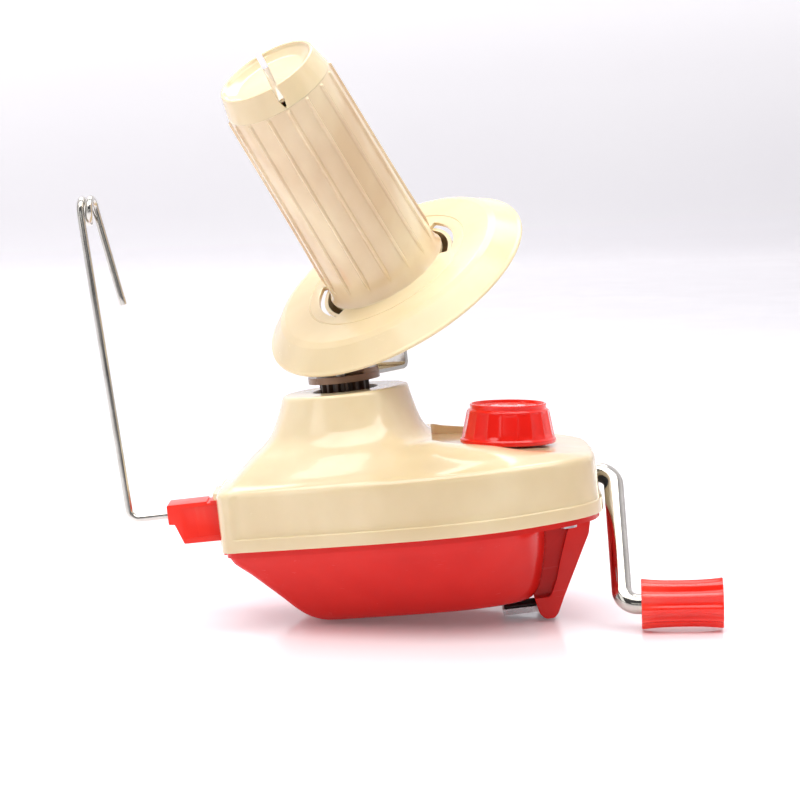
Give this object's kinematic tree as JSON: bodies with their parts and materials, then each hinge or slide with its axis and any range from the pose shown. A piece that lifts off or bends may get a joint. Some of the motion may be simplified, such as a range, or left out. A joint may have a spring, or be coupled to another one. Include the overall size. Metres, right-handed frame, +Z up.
{
  "type": "yarn ball winder",
  "caption": "Hand-cranked yarn ball winder: tilted ribbed cone and flange on a geared spindle, red and cream housing, crank, wire yarn guide and screw table clamp.",
  "frame": {"origin": "on the flat underside that sits on the table, straight below the spindle axis", "axes": "+Z up along the spindle axis, +X towards the crank, -Y the side the cone leans to in the front view"},
  "size_m": [0.2361, 0.136, 0.2451],
  "materials": {
    "cream_plastic": "glossy cream ABS moulding",
    "red_plastic": "glossy red ABS moulding",
    "brown_plastic": "brown acetal gear plastic",
    "plated_steel": "nickel plated steel",
    "zinc_steel": "zinc plated steel",
    "dark_rubber": "rubber pad",
    "dark_plastic": "black nylon bush"
  },
  "bodies": {
    "housing": {"lower_housing": "red_plastic", "upper_cover": "cream_plastic", "cover_screw_1": "zinc_steel", "cover_screw_2": "zinc_steel", "cover_screw_3": "zinc_steel", "cover_screw_4": "zinc_steel", "center_post": "zinc_steel", "thrust_washer": "zinc_steel", "sun_gear": "brown_plastic", "post_clip": "zinc_steel", "bearing_block": "cream_plastic", "crank_bush": "dark_plastic", "guide_pivot_pin": "cream_plastic", "clamp_washer": "zinc_steel"},
    "crank": {"crank_arm": "plated_steel", "drive_gear": "brown_plastic", "gear_pin": "plated_steel", "crank_collar": "zinc_steel", "grip_retainer": "zinc_steel"},
    "grip": {"crank_grip": "red_plastic"},
    "rotor": {"spindle_pinion": "brown_plastic", "rotor_disc": "brown_plastic", "rotor_cap": "brown_plastic", "rotor_screw_1": "zinc_steel", "rotor_screw_2": "zinc_steel", "spindle_bracket": "plated_steel", "tilt_axle": "plated_steel", "axle_clip": "zinc_steel"},
    "cone": {"flange_disc": "cream_plastic", "cone_sleeve": "cream_plastic", "cone_cap": "cream_plastic", "ring_gear": "cream_plastic"},
    "knob": {"clamp_knob": "red_plastic", "knob_disc": "red_plastic", "clamp_screw": "zinc_steel", "screw_collar": "zinc_steel", "screw_clip": "zinc_steel"},
    "jaw": {"clamp_jaw": "zinc_steel", "jaw_nut": "zinc_steel", "jaw_pad": "dark_rubber"},
    "guide": {"guide_arm": "red_plastic", "guide_wire": "plated_steel"}
  },
  "joints": [
    {"name": "crank_turn", "type": "hinge", "parent": "housing", "child": "crank", "pos_m": [0.06, 0, 0.045], "axis": [1, 0, 0], "continuous": true},
    {"name": "grip_spin", "type": "hinge", "parent": "crank", "child": "grip", "pos_m": [0.12145, -0.04167, -0.00438], "axis": [0.9938, -0.0719, -0.0852], "continuous": true},
    {"name": "rotor_turn", "type": "hinge", "parent": "housing", "child": "rotor", "pos_m": [0, 0, 0.09], "axis": [0, 0, 1], "continuous": true},
    {"name": "cone_turn", "type": "hinge", "parent": "rotor", "child": "cone", "pos_m": [0, 0, 0.183], "axis": [-0.3747, -0.3747, 0.848], "continuous": true},
    {"name": "knob_turn", "type": "hinge", "parent": "housing", "child": "knob", "pos_m": [0.062, -0.009, 0.0615], "axis": [0.1045, 0, 0.9945], "range_deg": [0, 1800]},
    {"name": "jaw_slide", "type": "slide", "parent": "housing", "child": "jaw", "axis": [-0.1045, 0, -0.9945], "range_m": [0, 0.02]},
    {"name": "guide_swing", "type": "hinge", "parent": "housing", "child": "guide", "pos_m": [-0.0552, 0, 0.044], "axis": [0, 0, 1], "range_deg": [-18, 35]}
  ],
  "couplings": [
    {"joint": "rotor_turn", "follows": "crank_turn", "ratio": -3.2},
    {"joint": "cone_turn", "follows": "crank_turn", "ratio": -0.89302},
    {"joint": "jaw_slide", "follows": "knob_turn", "m_per_rad": 0.00063662}
  ]
}
